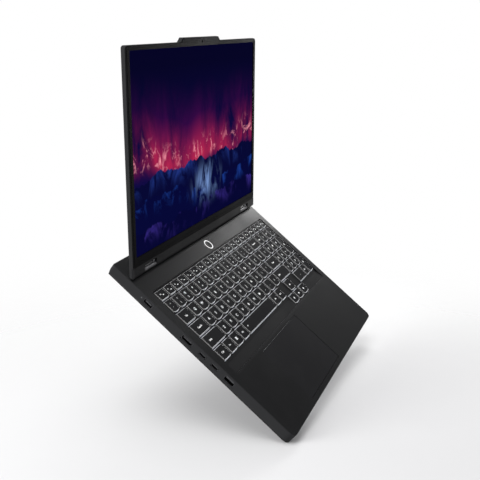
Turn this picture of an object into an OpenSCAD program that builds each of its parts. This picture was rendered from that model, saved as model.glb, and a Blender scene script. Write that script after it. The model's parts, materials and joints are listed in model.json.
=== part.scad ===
// Laptop computer with a recessed keyboard, a lid that opens flat, and its cooling, ports and battery.
// Base pieces are drawn with x from the left side, y from the front edge and z up from the deck.
// Lid pieces are drawn on the hinge axis: y runs up the lid and z points out of the screen.

/* [Base] */
// Width of the base, left to right
base_w = 344.9; // [343:0.1:356]
// Depth of the base, front to back
base_d = 257.3; // [256:0.1:266]
// Height from the underside plate to the deck
base_h = 14.8; // [14.6:0.1:18]
// Height of the top cover's side wall
side_h = 10.6; // [10.4:0.1:11.4]
// Radius of the two front corners, seen from above
front_corner_r = 9; // [5:0.5:14]
// Radius of the two rear corners, seen from above
rear_corner_r = 3; // [2.5:0.5:6]
// Wall thickness of both base covers
wall = 1.5; // [1.2:0.1:1.8]
// Thickness of the deck
deck_t = 1.8; // [1.6:0.1:2]
// Width of the bevel round the deck
deck_bevel = 0.7; // [0.3:0.1:1]
// How far the underside's edge slopes inwards
belly_in = 6; // [5:0.5:8]
// Height of the underside's sloping edge
belly_up = 2.1; // [1.6:0.1:2.6]
// Height of the rubber feet below the underside
foot_h = 1.6; // [1:0.1:2.5]

/* [Lid] */
// Angle between the closed and the drawn position of the lid
lid_open = 127.6; // [100:0.1:140]
// Distance from the hinge axis to the lid's top edge
lid_len = 232; // [228:0.5:234]
// Width of the lid
lid_w = 341.2; // [338:0.1:342]
// Thickness of the lid
lid_t = 6.4; // [6.2:0.1:7]
// Air between the closed lid and the deck
lid_gap = 0.5; // [0.5:0.05:1]
// Distance from the deck's front edge to the closed lid's edge
lid_setback = 1.4; // [0:0.1:3]
// Corner radius of the lid
lid_corner_r = 5; // [3:0.5:8]
// Thickness of the bezel
bezel_t = 1.6; // [1.4:0.1:1.9]
// Thickness of the lid's back plate
lid_plate_t = 1.2; // [1:0.1:1.3]
// Width of the screen's visible area
screen_w = 329; // [320:0.5:331]
// Height of the screen's visible area
screen_h = 208.5; // [200:0.5:209]
// Distance from the top edge of the lid to the visible screen
bezel_top = 4.9; // [4.5:0.1:7]
// Height of the strip along the lid's foot, above the hinge axis
strip_up = 8.8; // [8:0.1:10]
// Width of the camera bump where it leaves the lid
bump_w = 104; // [60:1:120]
// How far the camera bump rises above the lid's edge
bump_up = 4.8; // [3:0.1:6]

/* [Hinges] */
// Distance from each side of the lid to its hinge notch
notch_in = 22.6; // [18:0.1:30]
// Width of a hinge notch
notch_w = 26.5; // [22:0.5:30]
// Height of a hinge notch above the axis
notch_up = 6.8; // [6:0.1:8]
// Radius of the fixed hinge knuckle
knuckle_r = 2.9; // [2.5:0.1:3]
// Radius of the hinge pin
pin_r = 1.5; // [1.2:0.1:1.6]
// Running clearance of the pin in its knuckle
pin_gap = 0.05; // [0.03:0.01:0.1]

/* [Keyboard] */
// Left edge of the keys
keys_x = 13.8; // [13.5:0.1:14]
// Front edge of the space bar's row
keys_y = 104; // [103:0.1:105]
// Width of a letter key
key_w = 15.85; // [15:0.05:16]
// Front-to-back size of a letter key
key_d = 15.8; // [15:0.05:15.9]
// Space between neighbouring keys
key_gap = 2.3; // [2:0.05:2.8]
// Front-to-back size of the function keys
function_d = 11.9; // [10:0.1:12]
// Front-to-back size of the arrow keys
arrow_d = 13.4; // [12:0.1:13.5]
// Width of a number pad key
pad_w = 12.5; // [12:0.05:12.6]
// Height of a keycap
cap_h = 2; // [1.8:0.1:2.1]
// How far a key travels
key_travel = 1.4; // [1:0.1:1.45]
// Depth of the keyboard's recess below the deck
well_depth = 1.3; // [1:0.05:1.4]
// Air round each keycap in the key frame
cap_gap = 0.45; // [0.35:0.05:0.6]
// How far the front of a letter key bows out
key_bow = 1.5; // [0.8:0.1:2.2]

/* [Controls] */
// Radius of the power button
power_r = 5.5; // [4.5:0.1:6]
// Width of the lit ring round the power button
ring_w = 1.9; // [1.5:0.1:3]
// How far the power button travels
power_travel = 0.5; // [0.3:0.1:0.8]
// Width of the touchpad
touchpad_w = 114.5; // [100:0.5:116]
// Depth of the touchpad
touchpad_d = 74.5; // [70:0.5:75]
// Distance from the front edge to the touchpad
touchpad_y = 6.4; // [5:0.1:7]
// Air round the touchpad
touchpad_gap = 0.35; // [0.3:0.05:0.6]
// Travel of the camera switch
shutter_travel = 2; // [1.5:0.1:2.5]

/* [Cooling] */
// Radius of a fan rotor
rotor_r = 31; // [28:0.5:32]
// Number of blades on a rotor
blade_count = 37; // [17:2:53]
// Number of fins in a fin stack
fin_count = 36; // [12:1:48]
// Radius of the fan's air inlet
inlet_r = 25; // [20:0.5:26]
// Radius of the fan's spindle
spindle_r = 1.2; // [1:0.1:1.5]
// Running clearance of a rotor on its spindle
spindle_gap = 0.05; // [0.03:0.01:0.1]

/* [Hidden] */
$fn = 48;
EPS = 0.01;

mid_x = base_w / 2;
hinge_z = lid_gap + lid_t / 2;
hinge_y = lid_setback + lid_len;
floor_z = wall - base_h;
bump_top = lid_len + bump_up;
shell_colour = [0.17, 0.17, 0.18];
key_colour = [0.1, 0.1, 0.11];
metal_colour = [0.62, 0.63, 0.65];

// Keyboard layout
row_pitch = key_d + key_gap;
function_y = keys_y + 5 * row_pitch;
arrow_y = keys_y - arrow_d - 2;
pad_x = base_w - keys_x - 4 * pad_w - 3 * key_gap;
keys_end = pad_x - key_gap;
arrow_w = 17.1;
arrow_x = keys_end - 3 * arrow_w - 2 * key_gap;
// Widths of the keys that aren't letter size
escape_w = 16.8;
grave_w = 13.2;
tab_w = 22;
caps_w = 27;
shift_w = 36;
control_w = 17.9;
space_w = 89.2;
small_w = (keys_end - keys_x - escape_w - 15 * key_gap) / 15;

// Rearmost point of the open lid: the bump's top edge on the back of the lid
lid_reach_y = hinge_y - bump_top * cos(lid_open) + lid_t / 2 * sin(lid_open);
mid_y = lid_reach_y / 2;
rest_z = base_h + foot_h;

// Moves a piece from the deck's frame to the frame of the whole part
module placed() translate([-mid_x, -mid_y, rest_z]) children();
// Moves a piece from the lid's frame to the frame of the whole part
module on_lid() placed() translate([0, hinge_y, hinge_z]) rotate([180 - lid_open, 0, 0]) children();
// A copy on each side of the middle
module both_sides() {
    children();
    translate([base_w, 0, 0]) mirror([1, 0, 0]) children();
}
// Box given by its lowest and its highest corner
module block(low, high) translate(low) cube(high - low);
// Flat rounded rectangle with its own radius for front and rear corners
module rounded_plan(x0, x1, y0, y1, r_front, r_rear) {
    for (x = [x0 + r_front, x1 - r_front]) translate([x, y0 + r_front]) circle(r_front);
    for (x = [x0 + r_rear, x1 - r_rear]) translate([x, y1 - r_rear]) circle(r_rear);
    translate([x0 + r_front, y0]) square([x1 - x0 - 2 * r_front, y1 - y0 - r_rear]);
    translate([x0 + r_rear, y0 + r_front]) square([x1 - x0 - 2 * r_rear, y1 - y0 - r_front]);
    translate([x0, y0 + r_front]) square([x1 - x0, y1 - y0 - r_front - r_rear]);
}
// Footprint of the base, drawn in by a margin
module base_plan(inset) rounded_plan(inset, base_w - inset, inset, base_d - inset,
    front_corner_r - inset, rear_corner_r - min(inset, rear_corner_r / 2));
// Space between the base's walls; the rear wall is thicker, because its outside slopes in
module cavity_plan() intersection() {
    base_plan(wall);
    square([base_w, base_d - wall - tail_in]);
}
// Extrudes a profile drawn in x and z along y
module along_y(y0, y1) translate([0, y1, 0]) rotate([90, 0, 0]) linear_extrude(y1 - y0) children();
// Extrudes a profile drawn in y and z along x
module along_x(x0, x1) translate([x0, 0, 0]) rotate([90, 0, 90]) linear_extrude(x1 - x0) children();

// ---- Outer covers ----

// Solid block of the whole base: bevelled at the deck and sloped at the underside
belly_z = belly_up - base_h;
tail_z = -6;
tail_in = 2.4;
module base_block() intersection() {
    translate([0, 0, -base_h]) linear_extrude(base_h) base_plan(0);
    along_y(-1, base_d + 1) polygon([[belly_in, -base_h], [base_w - belly_in, -base_h],
        [base_w, belly_z], [base_w, -deck_bevel], [base_w - deck_bevel, 0], [deck_bevel, 0],
        [0, -deck_bevel], [0, belly_z]]);
    along_x(-1, base_w + 1) polygon([[belly_in, -base_h], [base_d - belly_in - tail_in, -base_h],
        [base_d - tail_in, belly_z], [base_d, tail_z], [base_d, -deck_bevel],
        [base_d - deck_bevel, 0], [deck_bevel, 0], [0, -deck_bevel], [0, belly_z]]);
}

// Keyboard recess: flat under the keys, with a ramp up to the palm rest
well_x = keys_x - key_gap;
well_y = arrow_y - 4.6;
well_ramp = 15;
well_back = function_y + function_d + 2.1;
well_r = 3;
pan_t = 1;
module well_shape(down) intersection() {
    translate([0, 0, -down - 1]) linear_extrude(down + 2)
        rounded_plan(well_x, base_w - well_x, well_y, well_back, well_r, well_r);
    along_x(0, base_w) polygon([[well_y, 1], [well_y, 0], [well_y + well_ramp, -down],
        [well_back, -down], [well_back, 1]]);
}
frame_in = 1;
ramp_lip = 2.2;
module well_opening() translate([0, 0, -6]) linear_extrude(7)
    rounded_plan(well_x + frame_in, base_w - well_x - frame_in, well_y + ramp_lip, well_back - frame_in,
        well_r - frame_in, well_r - frame_in);

ring_y = 218.3;
ring_r = power_r + ring_w + 0.3;
bracket_foot_y = 4;
exhaust_w = 96;
exhaust_x = 15;
exhaust_low = -8.6;
exhaust_high = -2.6;
screw_r = 1;
screw_spots = [[9, 10], [mid_x + 50, 6], [base_w - 9, 10], [8.5, 54], [base_w - 8.5, 54],
    [mid_x + 50, 81.5], [8.5, 226], [base_w - 8.5, 226], [mid_x - 38, base_d - 8.5],
    [mid_x + 38, base_d - 8.5]];
boss_r = 2.6;
port_z = -5.6;

module top_cover() color(shell_colour) placed() difference() {
    union() {
        difference() {
            base_block();
            translate([0, 0, -base_h - 1]) linear_extrude(base_h + 1 - deck_t) cavity_plan();
            block([-1, -1, -base_h - 1], [base_w + 1, base_d + 1, -side_h]);
        }
        intersection() {
            translate([0, 0, -well_depth - pan_t]) linear_extrude(well_depth + pan_t - EPS)
                rounded_plan(well_x - wall, base_w - well_x + wall, well_y, well_back + wall, well_r, well_r);
            base_block();
        }
        for (s = screw_spots) translate([s[0], s[1], -side_h]) cylinder(r = boss_r, h = side_h - deck_t / 2);
    }
    well_shape(well_depth);
    well_opening();
    translate([mid_x, ring_y, -deck_t - 1]) cylinder(r = ring_r, h = deck_t + 2);
    linear_extrude(20, center = true) touchpad_plan(0);
    both_sides() block([hinge_x, hinge_y - bracket_foot_y / 2 - 0.2, -deck_t - 1],
        [hinge_x + notch_w, hinge_y + bracket_foot_y / 2 + 0.2, 1]);
    both_sides() block([exhaust_x, base_d - wall - tail_in - 1, exhaust_low],
        [exhaust_x + exhaust_w, base_d + 1, exhaust_high]);
    for (s = screw_spots) translate([s[0], s[1], -side_h - 1]) cylinder(r = screw_r + 0.05, h = 7);
    port_holes();
}

module touchpad_plan(inset) rounded_plan(touchpad_x + inset, touchpad_x + touchpad_w - inset,
    touchpad_y + inset, touchpad_y + touchpad_d - inset, 2.5, 2.5);

rim_in = belly_in - 2;
vent_x = 34;
vent_y = 168;
vent_pitch = 7;
vent_step = 11;
module bottom_cover() color(shell_colour) placed() difference() {
    intersection() {
        base_block();
        block([-1, -1, -base_h - 1], [base_w + 1, base_d + 1, -side_h]);
    }
    translate([0, 0, floor_z]) linear_extrude(base_h)
        rounded_plan(rim_in, base_w - rim_in, rim_in, base_d - belly_in - 2, 6, 3);
    // Shallower step at the back, for the fin stacks
    block([fin_x - 2, base_d - belly_in - 4, fin_low - 0.1], [base_w - fin_x + 2, fin_back + 0.5, 0]);
    for (s = screw_spots) translate([s[0], s[1], -base_h - 1]) {
        cylinder(r = screw_r + 0.25, h = base_h);
        cylinder(r = 2.4, h = 1.9);
    }
    both_sides() for (row = [0 : 6], k = [0 : 6 + row % 2])
        translate([vent_x + (k - row % 2 / 2) * vent_step, vent_y + row * vent_pitch, -base_h - 1])
            slot(8, 3.6, wall + 2);
    both_sides() for (k = [0 : 4]) translate([24 + k * 6, 22, -base_h - 1]) slot(4, 2, wall + 2);
}
// Rounded slot that starts at the origin and runs along x
module slot(length, width, height) linear_extrude(height) {
    translate([width / 2, 0]) circle(width / 2);
    translate([length - width / 2, 0]) circle(width / 2);
    translate([width / 2, -width / 2]) square([length - width, width]);
}

louvre_count = 30;
louvre_t = 0.9;
louvre_pitch = (exhaust_w - 0.2 - louvre_t) / (louvre_count - 1);
grille_y = base_d - 2.8;
module rear_grilles() color(key_colour) placed() both_sides() {
    for (z = [exhaust_low + 0.1, exhaust_high - 0.8])
        block([exhaust_x + 0.1, grille_y, z], [exhaust_x + exhaust_w - 0.1, grille_y + 0.8, z + 0.7]);
    for (k = [0 : louvre_count - 1])
        translate([exhaust_x + 0.1 + k * louvre_pitch, grille_y, exhaust_low + 0.1])
            cube([louvre_t, 1.5, exhaust_high - exhaust_low - 0.2]);
}

front_foot_w = 40;
rear_foot_w = 250;
module rubber_feet() color([0.08, 0.08, 0.08]) placed() translate([0, 0, -base_h - foot_h]) {
    both_sides() translate([22, 16, 0]) slot(front_foot_w, 7, foot_h);
    translate([mid_x - rear_foot_w / 2, 238, 0]) slot(rear_foot_w, 8, foot_h);
}

module cover_screws() color(metal_colour) placed() for (s = screw_spots)
    translate([s[0], s[1], -base_h + 0.2]) difference() {
        union() {
            cylinder(r = 2, h = 0.7);
            cylinder(r = screw_r, h = base_h - side_h + 5.5);
        }
        translate([0, 0, -1]) cylinder(r = 0.8, h = 1.3, $fn = 6);
    }

// ---- Keyboard ----

// Left edge of the key after n letter keys, in a row that starts with one key of the given width
function after(first_w, n) = keys_x + first_w + key_gap + n * (key_w + key_gap);
function row_at(n) = keys_y + n * row_pitch;
// Each key is [x, y, width, depth, bowed front]
function letters(first_w, row, n) = [for (k = [0 : n - 1])
    [after(first_w, k), row_at(row), key_w, key_d, true]];
function key_to_end(first_w, row, n, bowed = false) =
    [[after(first_w, n), row_at(row), keys_end - after(first_w, n), key_d, bowed]];
function row_start(first_w, row) = [[keys_x, row_at(row), first_w, key_d, false]];
escape_list = [[keys_x, function_y, escape_w, function_d, false]];
function_list = concat(
    [for (k = [0 : 14]) [keys_x + escape_w + key_gap + k * (small_w + key_gap), function_y,
        small_w, function_d, false]],
    [for (k = [0 : 3]) [pad_x + k * (pad_w + key_gap), function_y, pad_w, function_d, false]]);
digit_list = concat([[keys_x, row_at(4), grave_w, key_d, true]], letters(grave_w, 4, 12));
backspace_list = key_to_end(grave_w, 4, 12);
tab_list = row_start(tab_w, 3);
upper_list = concat(letters(tab_w, 3, 12), key_to_end(tab_w, 3, 12, true));
caps_list = row_start(caps_w, 2);
home_list = letters(caps_w, 2, 11);
enter_list = key_to_end(caps_w, 2, 11);
left_shift_list = row_start(shift_w, 1);
lower_list = letters(shift_w, 1, 10);
right_shift_list = key_to_end(shift_w, 1, 10);
control_list = row_start(control_w, 0);
space_x = after(control_w, 3);
modifier_list = [for (x = [after(control_w, 0), after(control_w, 1), after(control_w, 2),
    space_x + space_w + key_gap, space_x + space_w + key_w + 2 * key_gap]) [x, keys_y, key_w, key_d, false]];
space_list = [[space_x, keys_y, space_w, key_d, false]];
function arrow_key(k) = [[arrow_x + k * (arrow_w + key_gap), arrow_y, arrow_w, arrow_d, true]];
up_list = [[arrow_x + arrow_w + key_gap, keys_y, arrow_w, key_d, true]];
function pad_col(k) = pad_x + k * (pad_w + key_gap);
tall_d = key_d + row_pitch;
pad_list = concat(
    [for (k = [0 : 3]) [pad_col(k), row_at(4), pad_w, key_d, true]],
    [for (row = [1 : 3], k = [0 : 2]) [pad_col(k), row_at(row), pad_w, key_d, true]],
    [[pad_col(3), row_at(2), pad_w, tall_d, true], [pad_col(3), row_at(0), pad_w, tall_d, false],
     [pad_col(0), row_at(0), 2 * pad_w + key_gap, key_d, false],
     [pad_col(2), row_at(0), pad_w, key_d, false]]);
all_keys = concat(escape_list, function_list, digit_list, backspace_list, tab_list, upper_list, caps_list,
    home_list, enter_list, left_shift_list, lower_list, right_shift_list, control_list, modifier_list,
    space_list, up_list, arrow_key(0), arrow_key(1), arrow_key(2), pad_list);

// Outline of a key from above, grown by a margin on every side
key_corner = 1.3;
module key_outline(k, grow) {
    w = k[2];
    d = k[3];
    bow_r = (w * w / 4 + key_bow * key_bow) / (2 * key_bow);
    intersection() {
        rounded_plan(k[0] - grow, k[0] + w + grow, k[1] - grow, k[1] + d + grow,
            key_corner + grow, key_corner + grow);
        if (k[4]) translate([k[0] + w / 2, k[1] + bow_r]) union() {
            circle(bow_r + grow, $fn = 96);
            translate([-w, 0]) square([2 * w, d]);
        }
    }
}
cap_slope = 0.45;
cap_floor = 1;
skirt_t = 1.2;
dish = 0.22;
// Cross section of a keycap, for half its width
module cap_profile(half) polygon([[-half - 1, -cap_h - 1], [half + 1, -cap_h - 1], [half, -cap_slope],
    [half - cap_slope, 0], [cap_slope - half, 0], [-half, -cap_slope]]);
// Keycap: bevelled sides, a shallow dish on top and a hollow underside
module keycap(k) {
    w = k[2];
    d = k[3];
    dish_r = (w * w / 4 + dish * dish) / (2 * dish);
    difference() {
        intersection() {
            translate([0, 0, -cap_h]) linear_extrude(cap_h) key_outline(k, 0);
            translate([k[0] + w / 2, 0, 0]) along_y(k[1] - 1, k[1] + d + 1) cap_profile(w / 2);
            translate([0, k[1] + d / 2, 0]) along_x(k[0] - 1, k[0] + w + 1) cap_profile(d / 2);
        }
        if (w < 20) translate([k[0] + w / 2, k[1] - 1, dish_r - dish]) rotate([-90, 0, 0])
            cylinder(r = dish_r, h = d + 2, $fn = 360);
        block([k[0] + skirt_t, k[1] + skirt_t + (k[4] ? key_bow : 0), -cap_h - 1],
            [k[0] + w - skirt_t, k[1] + d - skirt_t, -cap_floor]);
    }
}
module keys(list) color(key_colour) placed() for (k = list) keycap(k);
module escape_key() keys(escape_list);
module function_keys() keys(function_list);
module digit_keys() keys(digit_list);
module backspace_key() keys(backspace_list);
module tab_key() keys(tab_list);
module upper_letter_keys() keys(upper_list);
module caps_lock_key() keys(caps_list);
module home_letter_keys() keys(home_list);
module enter_key() keys(enter_list);
module left_shift_key() keys(left_shift_list);
module lower_letter_keys() keys(lower_list);
module right_shift_key() keys(right_shift_list);
module left_control_key() keys(control_list);
module modifier_keys() keys(modifier_list);
module space_key() keys(space_list);
module up_arrow_key() keys(up_list);
module left_arrow_key() keys(arrow_key(0));
module down_arrow_key() keys(arrow_key(1));
module right_arrow_key() keys(arrow_key(2));
module number_pad_keys() keys(pad_list);

// Lattice between the keys: it fills the top cover's opening and follows the ramp at the front
frame_fit = 0.1;
module key_frame() color(key_colour) placed() difference() {
    intersection() {
        translate([0, 0, -well_depth - pan_t]) linear_extrude(well_depth + pan_t) rounded_plan(
            well_x + frame_in + frame_fit, base_w - well_x - frame_in - frame_fit,
            well_y + ramp_lip + frame_fit, well_back - frame_in - frame_fit,
            well_r - frame_in, well_r - frame_in);
        along_x(0, base_w) polygon([[well_y, -pan_t], [well_y, 0], [well_y + well_ramp, -well_depth],
            [well_back, -well_depth], [well_back, -well_depth - pan_t],
            [well_y + well_ramp, -well_depth - pan_t]]);
    }
    for (k = all_keys) translate([0, 0, -5]) linear_extrude(7) key_outline(k, cap_gap);
}

// Parts under the keys
support_top = -cap_floor - key_travel - 0.3;
sheet_top = -cap_h - key_travel - 0.35;
sheet_t = 0.3;
plate_t = 0.6;
plate_in = 2;
plate_rear_in = 0.6;
post_r = 0.5;
post_count = 9;
post_y = well_back - plate_rear_in - post_r - 0.1;
posts_x = well_x + plate_in + 2;
module under_keys(low, high, front, rear) translate([0, 0, low]) linear_extrude(high - low)
    rounded_plan(well_x + plate_in, base_w - well_x - plate_in, front, rear, 1, 1);
// The sheet ends short of the seams at the frame's front and rear, so that no light leaks there
module light_sheet() color([0.9, 0.92, 0.95]) placed()
    under_keys(sheet_top - sheet_t, sheet_top, well_y + ramp_lip + 1, post_y - post_r - 0.3);
module keyboard_plate() color(metal_colour) placed() {
    under_keys(sheet_top - sheet_t - plate_t, sheet_top - sheet_t, well_y + 2, well_back - plate_rear_in);
    // Riveting posts up to the key frame, behind the keys
    for (k = [0 : post_count - 1])
        translate([posts_x + k * (base_w - 2 * posts_x) / (post_count - 1), post_y, sheet_top - sheet_t])
            cylinder(r = post_r, h = sheet_t - sheet_top - well_depth - pan_t);
}
// One support with a round dome under each key, and a wide one under the long keys
module key_supports() color([0.75, 0.75, 0.78]) placed() for (k = all_keys) {
    bars = k[2] > 30 ? [k[2] * 0.2, k[2] * 0.5, k[2] * 0.8] : [k[2] / 2];
    for (x = bars) translate([k[0] + x, k[1] + k[3] / 2 + (k[4] ? key_bow / 2 : 0), sheet_top]) {
        block([-3.4, -2.6, 0], [3.4, 2.6, 0.5]);
        cylinder(r = 2, h = support_top - sheet_top);
    }
}

// ---- Controls ----

button_foot = 0.6;
cup_depth = button_foot + power_travel + 0.3;
cup_floor = 0.4;
// Lit ring, with a cup under it that the button moves in
module power_ring() color("white") placed() translate([mid_x, ring_y, -deck_t]) difference() {
    union() {
        translate([0, 0, -0.1]) cylinder(r = ring_r - 0.1, h = deck_t);
        translate([0, 0, -cup_depth - cup_floor]) cylinder(r = ring_r + 0.5, h = cup_depth + cup_floor);
    }
    translate([0, 0, -cup_depth]) cylinder(r = power_r + 0.3, h = deck_t + cup_depth + 1);
}
module power_button() color(key_colour) placed() translate([mid_x, ring_y, 0]) difference() {
    union() {
        translate([0, 0, -deck_t]) cylinder(r = power_r, h = deck_t - 0.1);
        translate([0, 0, -deck_t - button_foot]) cylinder(r = power_r - 0.4, h = button_foot + EPS);
    }
    translate([0, 0, 30 - 0.35]) sphere(r = 30, $fn = 96);
}
touchpad_x = space_x + space_w / 2 - touchpad_w / 2;
touchpad_t = 1.1;
touchpad_down = 0.2;
module touchpad() color(shell_colour) placed() {
    translate([0, 0, -touchpad_down - touchpad_t]) linear_extrude(touchpad_t) touchpad_plan(touchpad_gap);
    translate([0, 0, -touchpad_down - touchpad_t - 1]) linear_extrude(1.05) touchpad_plan(6);
}
bracket_low = -5;
bracket_back = touchpad_y + touchpad_d + 2.6;
module touchpad_bracket() color(metal_colour) placed() difference() {
    block([touchpad_x - 4, touchpad_y - 2.5, bracket_low],
        [touchpad_x + touchpad_w + 4, bracket_back, -deck_t]);
    block([touchpad_x - 3, touchpad_y - 1.6, bracket_low + 0.6],
        [touchpad_x + touchpad_w + 3, bracket_back - 1, 0]);
}
// Slider of the camera switch in the right side wall: a thumb piece on a wider plate behind the wall
switch_y = 62;
switch_len = 4;
switch_half = 1;
switch_sunk = 0.1;
slide_gap = 0.3;
slide_t = 1.5;
slide_half = 1.7;
slide_over = 1.5;
module camera_switch() color(key_colour) placed() {
    block([base_w - wall - 1, switch_y, port_z - switch_half],
        [base_w - switch_sunk, switch_y + switch_len, port_z + switch_half]);
    block([base_w - wall - slide_gap - slide_t, switch_y - slide_over, port_z - slide_half],
        [base_w - wall - slide_gap, switch_y + switch_len + slide_over, port_z + slide_half]);
}

// ---- Boards and power ----

board_low = -9.9;
board_t = 1.2;
board_in = 3;
arm_w = 19;
arm_notch = 12;
board_front = 92;
board_back = 150;
tongue_half = 52;
notch_fit = 0.8;
boss_fit = 0.4;
// Stretches of the board as [left, front, right, back]: the middle, an arm beside each fan, the
// small end for the audio jack, and the tongue between the fans
board_parts = [[board_in, board_front, base_w - board_in, board_back],
    [board_in, 78, board_in + arm_w, 214],
    [base_w - board_in - arm_w, 79, base_w - board_in, 206],
    [base_w - board_in - arm_notch, 60, base_w - board_in, 80],
    [mid_x - tongue_half, board_back - 1, mid_x + tongue_half, 226]];
module motherboard() color([0.05, 0.25, 0.15]) placed() difference() {
    union() for (b = board_parts) block([b[0], b[1], board_low], [b[2], b[3], board_low + board_t]);
    for (s = screw_spots) translate([s[0], s[1], board_low - 1]) cylinder(r = boss_r + boss_fit, h = 4);
    // The network socket hangs in a notch in the board
    on_right() block([0, lan_port[0] - lan_port[1] / 2 - notch_fit, board_low - 1],
        [lan_port[3] + notch_fit, lan_port[0] + lan_port[1] / 2 + notch_fit, 0]);
}
chip_t = 0.8;
// Processor and graphics chip as [left, front, width, depth]
chips = [[mid_x - 28, 168, 26, 24], [mid_x + 12, 172, 34, 30]];
cold_plate_over = 4;
module processor_chips() color([0.1, 0.1, 0.12]) placed() for (c = chips)
    block([c[0], c[1], board_low - chip_t], [c[0] + c[2], c[1] + c[3], board_low]);
module cold_plates() color([0.72, 0.45, 0.3]) placed() for (c = chips)
    block([c[0] - cold_plate_over, c[1] - cold_plate_over, fin_low],
        [c[0] + c[2] + cold_plate_over, c[1] + c[3] + cold_plate_over, board_low - chip_t]);
// Two memory modules side by side, each in a socket along its back edge, chips downwards
memory_low = board_low - 2.6;
memory_x = mid_x + 55.5;
memory_size = [69.6, 22, 1.2];
memory_y = 96;
memory_pitch = 28;
memory_lift = 1;
socket_lift = 0.6;
socket_over = 4;
socket_d = 5;
memory_chip = [11, 12, 0.9];
memory_chip_x = 5;
memory_chip_pitch = 16.5;
module memory_module() {
    translate([0, 0, memory_lift]) cube(memory_size);
    translate([-socket_over, memory_size[1] - 2, socket_lift])
        cube([memory_size[0] + 2 * socket_over, socket_d, board_low - memory_low - socket_lift]);
    for (k = [0 : 3]) translate([memory_chip_x + k * memory_chip_pitch, 4, memory_lift - memory_chip[2]])
        cube(memory_chip);
}
module memory_modules() color([0.05, 0.3, 0.2]) placed()
    for (k = [0 : 1]) translate([memory_x, memory_y + k * memory_pitch, memory_low]) memory_module();
// Card in its edge socket: bare board, socket on its left, and chips on its underside
card_y = 100;
card_d = 22;
card_t = 0.8;
card_low = board_low - 2.2;
card_chip_t = 1;
card_socket_w = 7;
card_socket_under = 0.4;
module card(x, len) translate([x, card_y, card_low]) {
    cube([len, card_d, card_t]);
    translate([1 - card_socket_w, -1, -card_socket_under])
        cube([card_socket_w, card_d + 2, board_low - card_low + card_socket_under]);
}
module card_chip(x, len) translate([x, card_y + 2, card_low - card_chip_t])
    cube([len, card_d - 4, card_chip_t]);
drive_x = mid_x - 132.5;
drive_len = 80;
wireless_x = mid_x - 24.5;
wireless_len = 30;
module solid_state_drive() color([0.08, 0.08, 0.1]) placed() {
    card(drive_x, drive_len);
    card_chip(drive_x + 10, 26);
    card_chip(drive_x + 44, 12);
    // Standoff at the card's free end
    translate([drive_x + drive_len - 3, card_y + card_d / 2, card_low + card_t])
        cylinder(r = 2, h = board_low - card_low - card_t);
}
module wireless_card() color([0.1, 0.12, 0.3]) placed() {
    card(wireless_x, wireless_len);
    card_chip(wireless_x + 8, 17);
    // Sockets of the two antenna leads
    for (y = [6, 16]) translate([wireless_x + wireless_len - 3.5, card_y + y, card_low - 0.4])
        cylinder(r = 1, h = 0.5);
}
cell_w = 50;
cell_pitch = 52.5;
cell_count = 4;
cell_d = 60;
cell_t = 7.2;
pack_w = (cell_count - 1) * cell_pitch + cell_w;
battery_x = mid_x - pack_w / 2;
battery_y = 12;
// The inner parts stand this far above the bottom cover's floor
floor_gap = 0.3;
rail_t = 1.5;
module battery() color([0.07, 0.07, 0.08]) placed() translate([battery_x, battery_y, floor_z + floor_gap]) {
    for (k = [0 : cell_count - 1]) translate([k * cell_pitch, 0, 0]) cube([cell_w, cell_d, cell_t]);
    // Circuit strip behind the cells and frame rail along their front
    translate([0, cell_d, 0]) cube([pack_w, 6, 4.2]);
    translate([-rail_t, -rail_t, 0]) cube([pack_w + 2 * rail_t, rail_t, 4.7]);
}
speaker_low = [16, 16];
speaker_high = [62, 76];
speaker_h = 6.7;
module speakers() color([0.06, 0.06, 0.06]) placed() both_sides() difference() {
    block([speaker_low[0], speaker_low[1], floor_z + floor_gap],
        [speaker_high[0], speaker_high[1], floor_z + floor_gap + speaker_h]);
    // Sound slot and screw hole
    translate([39, 30, floor_z - 1]) slot(14, 8, 3);
    translate([22, 58, floor_z - 1]) cylinder(r = 2, h = 10);
}

// ---- Cooling ----

fan_x = 73;
fan_y = 190;
fan_low = floor_z + floor_gap;
fan_high = -5.4;
fan_skin = 0.6;
inlet_ring_w = 10;
spoke_w = 4;
housing_r = rotor_r + 4.5;
housing_side = 36;
lead_corner = [26, 18];
fin_front = 233.5;
fin_gap = 0.2;
// Fan housing from above, drawn in by a margin: a round, a duct to the fins and a corner for the lead
module fan_plan(inset) {
    circle(housing_r - inset, $fn = 96);
    translate([inset - housing_side, 0])
        square([2 * (housing_side - inset), fin_front - fan_y - fin_gap + (inset > 0 ? 1 : 0)]);
    translate([inset - housing_side, inset - lead_corner[1]])
        square([lead_corner[0] - inset, lead_corner[1] + 2]);
}
module fan_housings() color([0.09, 0.09, 0.1]) placed() both_sides() translate([fan_x, fan_y, 0]) {
    difference() {
        translate([0, 0, fan_low]) linear_extrude(fan_high - fan_low) fan_plan(0);
        translate([0, 0, fan_low + fan_skin]) linear_extrude(fan_high - fan_low - 2 * fan_skin) fan_plan(1);
        translate([0, 0, fan_low - 1]) cylinder(r = inlet_r, h = 3);
        translate([0, 0, fan_high - fan_skin - EPS]) linear_extrude(2) difference() {
            circle(inlet_r);
            circle(inlet_r - inlet_ring_w);
            for (a = [90, 210, 330]) rotate(a) translate([0, -spoke_w / 2]) square([inlet_r + 1, spoke_w]);
        }
    }
    translate([0, 0, fan_low + 1]) cylinder(r = spindle_r, h = fan_high - fan_low - 1 - EPS);
}
hub_r = 14;
hub_h = 4.6;
rotor_low = fan_low + 1.3;
blade_t = 0.5;
blade_r = 13.6;
blade_h = hub_h - 0.7;
rim_w = 1;
rim_h = 0.6;
blade_bow = 10;
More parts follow.
